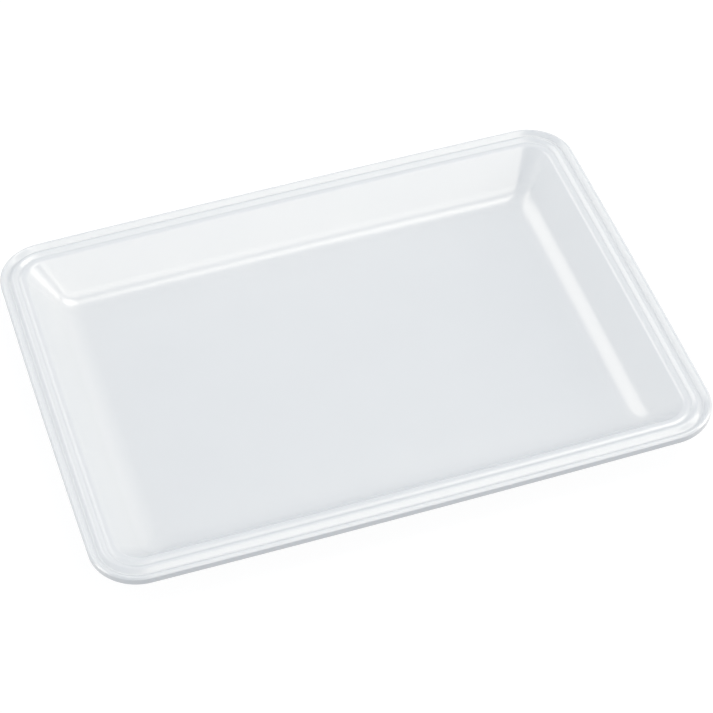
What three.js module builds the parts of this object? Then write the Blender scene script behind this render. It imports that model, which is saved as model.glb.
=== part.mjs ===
// A shallow rectangular food tray, thermoformed in one piece from a sheet of white foamed polystyrene.
// Its section runs from the middle of the floor out to the trimmed edge of the rim and back underneath.
// That section is lofted round a rounded rectangle, so the whole tray is one closed shell.
// Millimetres, +Z up, the origin under the middle of the base. X is the long way, Y the short way.
import * as THREE from "three";

// Overall size, measured outside at the rim.
const LENGTH = 200;
const WIDTH = 150;
const HEIGHT = 15.5;

// The sides bow out a little: this is how far each corner stands in from the middle of its sides.
const LONG_SIDE_BOW = 0.7;
const SHORT_SIDE_BOW = 0.4;

// Thickness of the foam. At the rim it is measured under the deeper groove, where the foam is thinnest.
const FLOOR_FOAM = 2.2;
const WALL_FOAM = 2.1;
const RIM_FOAM = 1.8;

// Radii of the four corners, seen from above.
const RIM_CORNER_R = 15.5;
const FLOOR_CORNER_R = 4.5;

// The rim, from its trimmed edge inwards: a narrow bead, a groove, a ridge, a shallow inner groove and a
// shoulder. A land is a flat width, a slope is the width that a change of height takes, and a drop or a
// depth is measured down from the bead's top.
const LIP_FACE = 2.0;
const LIP_DROP = 0.6;
const LIP_WIDTH = 0.6;
const BEAD_LAND = 0.5;
const GROOVE_SLOPE = 1.4;
const GROOVE_DEPTH = 1.2;
const GROOVE_LAND = 0.4;
const RIDGE_SLOPE = 1.3;
const RIDGE_DROP = 0.2;
const RIDGE_LAND = 0.6;
const INNER_SLOPE = 1.1;
const INNER_DEPTH = 0.9;
const INNER_LAND = 0.4;
const SHOULDER_SLOPE = 0.8;
const SHOULDER_DROP = 0.6;
const SHOULDER_LAND = 1.3;
const BEAD_R = 0.8;
const GROOVE_R = 0.6;
const RIDGE_R = 1.0;
const SHOULDER_R = 2.0;
const EDGE_R = 0.35;

// The wall leans from the shoulder down to the floor, which it meets in a round fold.
const FLOOR_INSET = 19.6;
const FOLD_R = 10;

// Facets.
const ARC_STEP = THREE.MathUtils.degToRad(15);
const CORNER_STEPS = 8;
const SIDE_STEPS = 8;

const FOAM_WHITE = 0xf3f6f7;
const FOAM_ROUGHNESS = 0.35;

// A corner of the section: how far in from the rim's edge, how high, and the radius that rounds it.
function sectionCorner(inset, height, radius = 0) {
  return { at: new THREE.Vector2(inset, height), radius };
}

// The points of an arc that rounds a corner and touches both of its straight lines.
// The radius is cut back where a line is too short for it.
function roundCorner(before, corner, after) {
  const toBefore = before.at.clone().sub(corner.at);
  const toAfter = after.at.clone().sub(corner.at);
  const room = Math.min(toBefore.length(), toAfter.length()) / 2;
  toBefore.normalize();
  toAfter.normalize();
  const halfAngle = Math.acos(THREE.MathUtils.clamp(toBefore.dot(toAfter), -1, 1)) / 2;
  const reach = Math.min(corner.radius / Math.tan(halfAngle), room);
  const radius = reach * Math.tan(halfAngle);
  const start = corner.at.clone().addScaledVector(toBefore, reach);
  const end = corner.at.clone().addScaledVector(toAfter, reach);
  const inward = toBefore.clone().add(toAfter).normalize();
  const centre = corner.at.clone().addScaledVector(inward, radius / Math.sin(halfAngle));
  const startAngle = start.sub(centre).angle();
  const endAngle = end.sub(centre).angle();
  const clockwise = toBefore.cross(toAfter) > 0;
  const arc = new THREE.ArcCurve(centre.x, centre.y, radius, startAngle, endAngle, clockwise);
  return arc.getPoints(Math.max(1, Math.ceil((Math.PI - 2 * halfAngle) / ARC_STEP)));
}

function roundedLine(corners) {
  return corners.flatMap((corner, i) => {
    const atEnd = i === 0 || i === corners.length - 1;
    return atEnd || corner.radius === 0
      ? [corner.at]
      : roundCorner(corners[i - 1], corner, corners[i + 1]);
  });
}

// The section of the foam sheet, from the floor's top face out round the rim and back under the floor.
function traySection() {
  const ridgeTop = HEIGHT - RIDGE_DROP;
  const shoulderTop = HEIGHT - SHOULDER_DROP;
  const grooveFloor = HEIGHT - GROOVE_DEPTH;
  const innerFloor = HEIGHT - INNER_DEPTH;
  const lipTop = HEIGHT - LIP_DROP;
  const rimUnder = Math.min(grooveFloor, innerFloor) - RIM_FOAM;

  const beadInner = LIP_WIDTH + BEAD_LAND;
  const grooveOuter = beadInner + GROOVE_SLOPE;
  const grooveInner = grooveOuter + GROOVE_LAND;
  const ridgeOuter = grooveInner + RIDGE_SLOPE;
  const ridgeInner = ridgeOuter + RIDGE_LAND;
  const innerOuter = ridgeInner + INNER_SLOPE;
  const innerInner = innerOuter + INNER_LAND;
  const shoulderOuter = innerInner + SHOULDER_SLOPE;
  const shoulderInner = shoulderOuter + SHOULDER_LAND;
  const flatFrom = FLOOR_INSET + 2 * FOLD_R;

  // The outside of the wall is parallel to its inside, one thickness of foam away.
  const wallAngle = Math.atan2(shoulderTop - FLOOR_FOAM, FLOOR_INSET - shoulderInner);
  const wallOutside = (height) =>
    shoulderInner + (shoulderTop - height) / Math.tan(wallAngle) - WALL_FOAM / Math.sin(wallAngle);

  return roundedLine([
    sectionCorner(flatFrom, FLOOR_FOAM),
    sectionCorner(FLOOR_INSET, FLOOR_FOAM, FOLD_R),
    sectionCorner(shoulderInner, shoulderTop, SHOULDER_R),
    sectionCorner(shoulderOuter, shoulderTop, SHOULDER_R),
    sectionCorner(innerInner, innerFloor, GROOVE_R),
    sectionCorner(innerOuter, innerFloor, GROOVE_R),
    sectionCorner(ridgeInner, ridgeTop, RIDGE_R),
    sectionCorner(ridgeOuter, ridgeTop, RIDGE_R),
    sectionCorner(grooveInner, grooveFloor, GROOVE_R),
    sectionCorner(grooveOuter, grooveFloor, GROOVE_R),
    sectionCorner(beadInner, HEIGHT, BEAD_R),
    sectionCorner(LIP_WIDTH, HEIGHT, BEAD_R),
    sectionCorner(0, lipTop, EDGE_R),
    sectionCorner(0, lipTop - LIP_FACE, EDGE_R),
    sectionCorner(LIP_WIDTH, rimUnder, EDGE_R),
    sectionCorner(wallOutside(rimUnder), rimUnder, SHOULDER_R),
    sectionCorner(wallOutside(0), 0, FOLD_R + WALL_FOAM),
    sectionCorner(flatFrom, 0),
  ]);
}

// The plan radius of a corner shrinks from the rim to the fold, quickly at first, and then stays.
function cornerRadius(inset) {
  const left = Math.max(0, 1 - inset / FLOOR_INSET);
  return FLOOR_CORNER_R + (RIM_CORNER_R - FLOOR_CORNER_R) * left * left;
}

// Bows the sides: the plan narrows a little towards both ends of each side.
function bowed(point) {
  const alongX = point.x / (LENGTH / 2);
  const alongY = point.y / (WIDTH / 2);
  const narrowX = 1 - (SHORT_SIDE_BOW / (LENGTH / 2)) * alongY * alongY;
  const narrowY = 1 - (LONG_SIDE_BOW / (WIDTH / 2)) * alongX * alongX;
  return new THREE.Vector2(point.x * narrowX, point.y * narrowY);
}

// The closed outline of the tray at one distance in from the rim's edge.
function outline(inset) {
  const radius = cornerRadius(inset);
  const x = LENGTH / 2 - inset - radius;
  const y = WIDTH / 2 - inset - radius;
  const centres = [[x, y], [-x, y], [-x, -y], [x, -y]];
  const arcs = centres.map(([cx, cy], quarter) => {
    const from = (quarter * Math.PI) / 2;
    return new THREE.ArcCurve(cx, cy, radius, from, from + Math.PI / 2).getPoints(CORNER_STEPS);
  });
  return arcs
    .flatMap((arc, i) => {
      const next = arcs[(i + 1) % arcs.length];
      const side = new THREE.LineCurve(arc.at(-1), next[0]).getPoints(SIDE_STEPS);
      return [...arc, ...side.slice(1, -1)];
    })
    .map(bowed);
}

// Carries the section round the outlines and closes its two ends with a flat face each.
function loft(section) {
  const rings = section.map(({ x: inset, y: height }) =>
    outline(inset).map((point) => new THREE.Vector3(point.x, point.y, height)),
  );
  const around = rings[0].length;
  const vertices = rings.flat();
  const index = [];
  const at = (ring, step) => ring * around + (step % around);
  for (let ring = 0; ring + 1 < rings.length; ring++) {
    for (let step = 0; step < around; step++) {
      const [a, b] = [at(ring, step), at(ring, step + 1)];
      const [c, d] = [at(ring + 1, step), at(ring + 1, step + 1)];
      index.push(a, c, b, b, c, d);
    }
  }
  const closeEnd = (ring, facingUp) => {
    const middle = vertices.push(new THREE.Vector3(0, 0, rings[ring][0].z)) - 1;
    for (let step = 0; step < around; step++) {
      const [a, b] = [at(ring, step), at(ring, step + 1)];
      index.push(middle, ...(facingUp ? [a, b] : [b, a]));
    }
  };
  closeEnd(0, true);
  closeEnd(rings.length - 1, false);
  const geometry = new THREE.BufferGeometry().setFromPoints(vertices).setIndex(index);
  geometry.computeVertexNormals();
  return geometry;
}

function foam() {
  return new THREE.MeshStandardMaterial({
    color: FOAM_WHITE,
    roughness: FOAM_ROUGHNESS,
    metalness: 0,
  });
}

const tray = new THREE.Mesh(loft(traySection()), foam());
tray.name = "tray";

const group = new THREE.Group();
group.add(tray);

export default group;
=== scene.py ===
import math

import bpy
import numpy as np
from mathutils import Matrix, Vector


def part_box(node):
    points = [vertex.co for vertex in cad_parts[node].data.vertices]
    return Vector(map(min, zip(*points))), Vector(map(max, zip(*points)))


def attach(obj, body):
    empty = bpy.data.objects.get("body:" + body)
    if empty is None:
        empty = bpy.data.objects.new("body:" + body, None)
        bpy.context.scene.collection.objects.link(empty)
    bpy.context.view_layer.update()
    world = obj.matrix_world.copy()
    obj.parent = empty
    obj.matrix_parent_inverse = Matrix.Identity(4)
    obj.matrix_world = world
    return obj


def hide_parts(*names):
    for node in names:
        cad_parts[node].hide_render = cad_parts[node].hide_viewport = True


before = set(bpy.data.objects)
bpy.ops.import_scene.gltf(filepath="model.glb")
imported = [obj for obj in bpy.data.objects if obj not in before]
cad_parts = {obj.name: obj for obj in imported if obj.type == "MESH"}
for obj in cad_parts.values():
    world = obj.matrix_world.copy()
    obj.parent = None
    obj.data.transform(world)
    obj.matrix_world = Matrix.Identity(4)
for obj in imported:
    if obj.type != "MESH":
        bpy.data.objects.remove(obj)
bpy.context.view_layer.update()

tray_low, tray_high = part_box("tray")
LENGTH, WIDTH, HEIGHT = tray_high - tray_low
MM = 0.001

# How far each corner stands in from the middle of its sides.
LONG_SIDE_BOW = 0.7 * MM
SHORT_SIDE_BOW = 0.4 * MM

# Thickness of the foam. At the rim it is measured under the deeper groove.
FLOOR_FOAM = 2.2 * MM
WALL_FOAM = 2.1 * MM
RIM_FOAM = 1.8 * MM

# Radii of the corners, seen from above.
RIM_CORNER_R = 15.5 * MM
FLOOR_CORNER_R = 4.5 * MM

# The rim, from its trimmed edge inwards: a narrow bead, a groove, a ridge, a shallow inner groove and a
# shoulder. A land is a flat width, a slope is the width that a change of height takes, and a drop or a
# depth is measured down from the bead's top.
LIP_FACE = 2.0 * MM
LIP_DROP = 0.6 * MM
LIP_WIDTH = 0.6 * MM
BEAD_LAND = 0.5 * MM
GROOVE_SLOPE = 1.4 * MM
GROOVE_DEPTH = 1.2 * MM
GROOVE_LAND = 0.4 * MM
RIDGE_SLOPE = 1.3 * MM
RIDGE_DROP = 0.2 * MM
RIDGE_LAND = 0.6 * MM
INNER_SLOPE = 1.1 * MM
INNER_DEPTH = 0.9 * MM
INNER_LAND = 0.4 * MM
SHOULDER_SLOPE = 0.8 * MM
SHOULDER_DROP = 0.6 * MM
SHOULDER_LAND = 1.3 * MM
BEAD_R = 0.8 * MM
GROOVE_R = 0.6 * MM
RIDGE_R = 1.0 * MM
SHOULDER_R = 2.0 * MM
EDGE_R = 0.35 * MM

# The fold between the wall and the floor.
FLOOR_INSET = 19.6 * MM
FOLD_R = 10 * MM

# How finely the surface is divided. A support ring beside each curve keeps the flat parts flat, where the
# flat part is long enough for it.
ARC_STEP = math.radians(5)
CORNER_STEPS = 24
SIDE_STEPS = 24
SUPPORT = 0.35 * MM
SUPPORT_ROOM = 4 * SUPPORT

# The camera, fitted to the photo: it looks at a point level with the rim's top.
CAMERA_AZIMUTH = math.radians(-16.48)
CAMERA_ELEVATION = math.radians(46.83)
CAMERA_ROLL = math.radians(-1.94)
CAMERA_DISTANCE = 0.8343
CAMERA_TARGET = (0.00033, -0.00948)
CAMERA_LENS = 132.8
SENSOR_WIDTH = 36

# Soft lamps: name, azimuth from +X and elevation in degrees, angular size in degrees, strength.
LAMPS = [
    ("overhead", 325, 76, 18, 0.18),
    ("right_high", 0, 60, 28, 0.64),
    ("front_high", 290, 45, 30, 0.44),
    ("back_left", 128, 40, 40, 0.54),
    ("right_low", 345, 20, 34, 0.63),
    ("left_low", 180, 20, 28, 0.34),
    ("left_grazing", 180, 6, 26, 0.62),
    ("right_grazing", 350, 6, 34, 0.47),
]

# The lamps are warm and the light from all round is blue, so the walls look neutral and the floor bluish.
LAMP_COLOUR = (1.0, 0.935, 0.83)
WORLD_LIGHT = 0.42
WORLD_COLOUR = (0.84, 0.99, 1.21)

# The floor as the camera sees it: nearly all its white is its own, so the tray's shadow stays faint.
# The bounce is the share of the light that it gives back to the tray.
FLOOR_SIZE = 6
FLOOR_BOUNCE = 0.45
FLOOR_SHADED_PART = 0.12
FLOOR_OWN_WHITE = 0.93

# The foam's colour and how strongly its skin reflects.
FOAM_COLOUR = (0.795, 0.806, 0.812)
FOAM_IOR = 1.59
FOAM_SPECULAR_LEVEL = 1.0

# How the skin varies: soft clouds of tint and roughness, and the foam's fine cells as a faint bump.
CLOUD_SCALE = 45
CLOUD_DETAIL = 3
TINT_SHARES = (0.985, 1.012)
ROUGHNESS_RANGE = (0.2, 0.28)
CELL_SCALE = 1400
CELL_BUMP = 0.25
CELL_HEIGHT = 0.02 * MM


def unit(vector):
    return vector / max(np.linalg.norm(vector), 1e-12)


def round_corner(before, corner, after, radius):
    """The points of an arc that rounds a corner and touches both of its straight lines.

    The radius is cut back where a line is too short for it.
    """
    room = min(np.linalg.norm(before - corner), np.linalg.norm(after - corner)) / 2
    to_before = unit(before - corner)
    to_after = unit(after - corner)
    half_angle = math.acos(np.clip(to_before @ to_after, -1, 1)) / 2
    reach = min(radius / math.tan(half_angle), room)
    radius = reach * math.tan(half_angle)
    centre = corner + unit(to_before + to_after) * radius / math.sin(half_angle)
    start = corner + to_before * reach - centre
    end = corner + to_after * reach - centre
    first = math.atan2(start[1], start[0])
    turn = (math.atan2(end[1], end[0]) - first + math.pi) % (2 * math.pi) - math.pi
    steps = max(2, math.ceil(abs(turn) / ARC_STEP))
    angles = [first + turn * i / steps for i in range(steps + 1)]
    return [centre + radius * np.array((math.cos(a), math.sin(a))) for a in angles]


def with_support(points):
    """Adds a point near both ends of each straight stretch that is long enough for it."""
    out = [points[0]]
    for before, after in zip(points, points[1:]):
        along = after - before
        length = np.linalg.norm(along)
        if length > SUPPORT_ROOM:
            out += [before + unit(along) * SUPPORT, after - unit(along) * SUPPORT]
        out.append(after)
    return out


def tray_section():
    """The section of the foam, from the floor's top round the rim to the underside.

    Each point is an inset from the rim's edge and a height.
    """
    ridge_top = HEIGHT - RIDGE_DROP
    shoulder_top = HEIGHT - SHOULDER_DROP
    groove_floor = HEIGHT - GROOVE_DEPTH
    inner_floor = HEIGHT - INNER_DEPTH
    lip_top = HEIGHT - LIP_DROP
    rim_under = min(groove_floor, inner_floor) - RIM_FOAM
    bead_inner = LIP_WIDTH + BEAD_LAND
    groove_outer = bead_inner + GROOVE_SLOPE
    groove_inner = groove_outer + GROOVE_LAND
    ridge_outer = groove_inner + RIDGE_SLOPE
    ridge_inner = ridge_outer + RIDGE_LAND
    inner_outer = ridge_inner + INNER_SLOPE
    inner_inner = inner_outer + INNER_LAND
    shoulder_outer = inner_inner + SHOULDER_SLOPE
    shoulder_inner = shoulder_outer + SHOULDER_LAND
    flat_from = FLOOR_INSET + 2 * FOLD_R
    wall_angle = math.atan2(shoulder_top - FLOOR_FOAM, FLOOR_INSET - shoulder_inner)

    # The outside of the wall is parallel to its inside, one thickness of foam away.
    def wall_outside(height):
        run = (shoulder_top - height) / math.tan(wall_angle)
        return shoulder_inner + run - WALL_FOAM / math.sin(wall_angle)

    corners = [
        (flat_from, FLOOR_FOAM, 0),
        (FLOOR_INSET, FLOOR_FOAM, FOLD_R),
        (shoulder_inner, shoulder_top, SHOULDER_R),
        (shoulder_outer, shoulder_top, SHOULDER_R),
        (inner_inner, inner_floor, GROOVE_R),
        (inner_outer, inner_floor, GROOVE_R),
        (ridge_inner, ridge_top, RIDGE_R),
        (ridge_outer, ridge_top, RIDGE_R),
        (groove_inner, groove_floor, GROOVE_R),
        (groove_outer, groove_floor, GROOVE_R),
        (bead_inner, HEIGHT, BEAD_R),
        (LIP_WIDTH, HEIGHT, BEAD_R),
        (0, lip_top, EDGE_R),
        (0, lip_top - LIP_FACE, EDGE_R),
        (LIP_WIDTH, rim_under, EDGE_R),
        (wall_outside(rim_under), rim_under, SHOULDER_R),
        (wall_outside(0), 0, FOLD_R + WALL_FOAM),
        (flat_from, 0, 0),
    ]
    at = [np.array(corner[:2], float) for corner in corners]
    points = [at[0]]
    for i in range(1, len(corners) - 1):
        points += round_corner(at[i - 1], at[i], at[i + 1], corners[i][2])
    return with_support(points + [at[-1]])


def corner_radius(inset):
    """The plan radius shrinks from the rim to the fold, quickly at first, and then stays."""
    left = max(0, 1 - inset / FLOOR_INSET)
    return FLOOR_CORNER_R + (RIM_CORNER_R - FLOOR_CORNER_R) * left * left


def bowed(x, y):
    """Narrows the plan a little towards both ends of each side."""
    narrow_x = 1 - SHORT_SIDE_BOW / (LENGTH / 2) * (y / (WIDTH / 2)) ** 2
    narrow_y = 1 - LONG_SIDE_BOW / (WIDTH / 2) * (x / (LENGTH / 2)) ** 2
    return x * narrow_x, y * narrow_y


def outline(inset):
    """The closed outline of the tray at one distance in from the rim's edge."""
    radius = corner_radius(inset)
    x = LENGTH / 2 - inset - radius
    y = WIDTH / 2 - inset - radius
    arcs = []
    for quarter, (cx, cy) in enumerate([(x, y), (-x, y), (-x, -y), (x, -y)]):
        angles = [(quarter + i / CORNER_STEPS) * math.pi / 2 for i in range(CORNER_STEPS + 1)]
        arcs.append([(cx + radius * math.cos(a), cy + radius * math.sin(a)) for a in angles])
    points = []
    for arc, following in zip(arcs, arcs[1:] + arcs[:1]):
        points += arc
        start, end = np.array(arc[-1]), np.array(following[0])
        points += [tuple(start + (end - start) * i / SIDE_STEPS) for i in range(1, SIDE_STEPS)]
    return [bowed(px, py) for px, py in points]


def build_tray():
    """Carries the section round the outlines and closes both ends with a flat face each."""
    rings = [[(px, py, height) for px, py in outline(inset)] for inset, height in tray_section()]
    around = len(rings[0])
    verts = [point for ring in rings for point in ring]
    faces = []
    for ring in range(len(rings) - 1):
        for step in range(around):
            following = (step + 1) % around
            first, second = ring * around, (ring + 1) * around
            faces.append((first + step, second + step, second + following, first + following))
    floor_middle, under_middle = len(verts), len(verts) + 1
    verts += [(0, 0, rings[0][0][2]), (0, 0, rings[-1][0][2])]
    last = (len(rings) - 1) * around
    for step in range(around):
        following = (step + 1) % around
        faces.append((floor_middle, step, following))
        faces.append((under_middle, last + following, last + step))
    mesh = bpy.data.meshes.new("foam_tray")
    mesh.from_pydata(verts, [], faces)
    mesh.shade_smooth()
    tray = bpy.data.objects.new("foam_tray", mesh)
    bpy.context.scene.collection.objects.link(tray)
    return tray


def foam_material():
    """White foam with a smooth skin: faint cells under it, and a sheen that varies a little."""
    material = bpy.data.materials.new("foam")
    material.use_nodes = True
    nodes, links = material.node_tree.nodes, material.node_tree.links
    shader = nodes["Principled BSDF"]
    shader.inputs["IOR"].default_value = FOAM_IOR
    shader.inputs["Specular IOR Level"].default_value = FOAM_SPECULAR_LEVEL
    place = nodes.new("ShaderNodeTexCoord")

    clouds = nodes.new("ShaderNodeTexNoise")
    clouds.inputs["Scale"].default_value = CLOUD_SCALE
    clouds.inputs["Detail"].default_value = CLOUD_DETAIL
    links.new(place.outputs["Object"], clouds.inputs["Vector"])

    tint = nodes.new("ShaderNodeValToRGB")
    for element, share in zip(tint.color_ramp.elements, TINT_SHARES):
        element.color = (*[c * share for c in FOAM_COLOUR], 1)
    links.new(clouds.outputs["Fac"], tint.inputs["Fac"])
    links.new(tint.outputs["Color"], shader.inputs["Base Color"])

    sheen = nodes.new("ShaderNodeMapRange")
    sheen.inputs["To Min"].default_value = ROUGHNESS_RANGE[0]
    sheen.inputs["To Max"].default_value = ROUGHNESS_RANGE[1]
    links.new(clouds.outputs["Fac"], sheen.inputs["Value"])
    links.new(sheen.outputs["Result"], shader.inputs["Roughness"])

    cells = nodes.new("ShaderNodeTexVoronoi")
    cells.feature = "SMOOTH_F1"
    cells.inputs["Scale"].default_value = CELL_SCALE
    links.new(place.outputs["Object"], cells.inputs["Vector"])
    bump = nodes.new("ShaderNodeBump")
    bump.inputs["Strength"].default_value = CELL_BUMP
    bump.inputs["Distance"].default_value = CELL_HEIGHT
    links.new(cells.outputs["Distance"], bump.inputs["Height"])
    links.new(bump.outputs["Normal"], shader.inputs["Normal"])
    return material


def seen_directly(nodes, links):
    """A factor of 1 for camera, glossy and transmission rays, and 0 for the light that a surface gets."""
    path = nodes.new("ShaderNodeLightPath")
    total = path.outputs["Is Camera Ray"]
    for name in ("Is Glossy Ray", "Is Transmission Ray"):
        add = nodes.new("ShaderNodeMath")
        add.operation = "ADD"
        add.use_clamp = True
        links.new(total, add.inputs[0])
        links.new(path.outputs[name], add.inputs[1])
        total = add.outputs["Value"]
    return total


def floor_material():
    material = bpy.data.materials.new("floor")
    material.use_nodes = True
    nodes, links = material.node_tree.nodes, material.node_tree.links
    nodes.remove(nodes["Principled BSDF"])
    bounce = nodes.new("ShaderNodeBsdfDiffuse")
    bounce.inputs["Color"].default_value = (FLOOR_BOUNCE, FLOOR_BOUNCE, FLOOR_BOUNCE, 1)
    shaded = nodes.new("ShaderNodeBsdfDiffuse")
    shaded.inputs["Color"].default_value = (FLOOR_SHADED_PART, FLOOR_SHADED_PART, FLOOR_SHADED_PART, 1)
    own = nodes.new("ShaderNodeEmission")
    own.inputs["Strength"].default_value = FLOOR_OWN_WHITE
    seen = nodes.new("ShaderNodeAddShader")
    links.new(shaded.outputs["BSDF"], seen.inputs[0])
    links.new(own.outputs["Emission"], seen.inputs[1])
    mix = nodes.new("ShaderNodeMixShader")
    links.new(seen_directly(nodes, links), mix.inputs["Fac"])
    links.new(bounce.outputs["BSDF"], mix.inputs[1])
    links.new(seen.outputs["Shader"], mix.inputs[2])
    links.new(mix.outputs["Shader"], nodes["Material Output"].inputs["Surface"])
    return material


def add_floor():
    bpy.ops.mesh.primitive_plane_add(size=FLOOR_SIZE, location=(0, 0, tray_low.z))
    floor = bpy.context.object
    floor.name = "floor"
    floor.data.materials.append(floor_material())


def set_world():
    world = bpy.data.worlds.new("studio")
    bpy.context.scene.world = world
    world.use_nodes = True
    nodes, links = world.node_tree.nodes, world.node_tree.links
    light = nodes["Background"]
    light.inputs["Color"].default_value = (*WORLD_COLOUR, 1)
    light.inputs["Strength"].default_value = WORLD_LIGHT
    white = nodes.new("ShaderNodeBackground")
    white.inputs["Color"].default_value = (1, 1, 1, 1)
    white.inputs["Strength"].default_value = 1
    mix = nodes.new("ShaderNodeMixShader")
    links.new(seen_directly(nodes, links), mix.inputs["Fac"])
    links.new(light.outputs["Background"], mix.inputs[1])
    links.new(white.outputs["Background"], mix.inputs[2])
    links.new(mix.outputs["Shader"], nodes["World Output"].inputs["Surface"])


def add_lamps():
    for name, azimuth, elevation, size, strength in LAMPS:
        a, e = math.radians(azimuth), math.radians(elevation)
        toward = Vector((math.cos(a) * math.cos(e), math.sin(a) * math.cos(e), math.sin(e)))
        data = bpy.data.lights.new(name, "SUN")
        data.energy = strength
        data.color = LAMP_COLOUR
        data.angle = math.radians(size)
        lamp = bpy.data.objects.new(name, data)
        lamp.rotation_euler = toward.to_track_quat("Z", "Y").to_euler()
        bpy.context.scene.collection.objects.link(lamp)


def add_camera():
    cos_el = math.cos(CAMERA_ELEVATION)
    forward = Vector((-math.sin(CAMERA_AZIMUTH) * cos_el, math.cos(CAMERA_AZIMUTH) * cos_el,
                      -math.sin(CAMERA_ELEVATION)))
    level_right = forward.cross(Vector((0, 0, 1))).normalized()
    level_up = level_right.cross(forward)
    right = math.cos(CAMERA_ROLL) * level_right + math.sin(CAMERA_ROLL) * level_up
    up = -math.sin(CAMERA_ROLL) * level_right + math.cos(CAMERA_ROLL) * level_up
    place = Vector((*CAMERA_TARGET, tray_high.z)) - forward * CAMERA_DISTANCE
    data = bpy.data.cameras.new("camera")
    data.sensor_width = SENSOR_WIDTH
    data.lens = CAMERA_LENS
    camera = bpy.data.objects.new("camera", data)
    camera.matrix_world = Matrix.Translation(place) @ Matrix((right, up, -forward)).transposed().to_4x4()
    bpy.context.scene.collection.objects.link(camera)
    bpy.context.scene.camera = camera


tray = build_tray()
tray.data.materials.append(foam_material())
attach(tray, "root")
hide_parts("tray")

add_floor()
set_world()
add_lamps()
add_camera()
bpy.context.scene.view_settings.view_transform = "Standard"
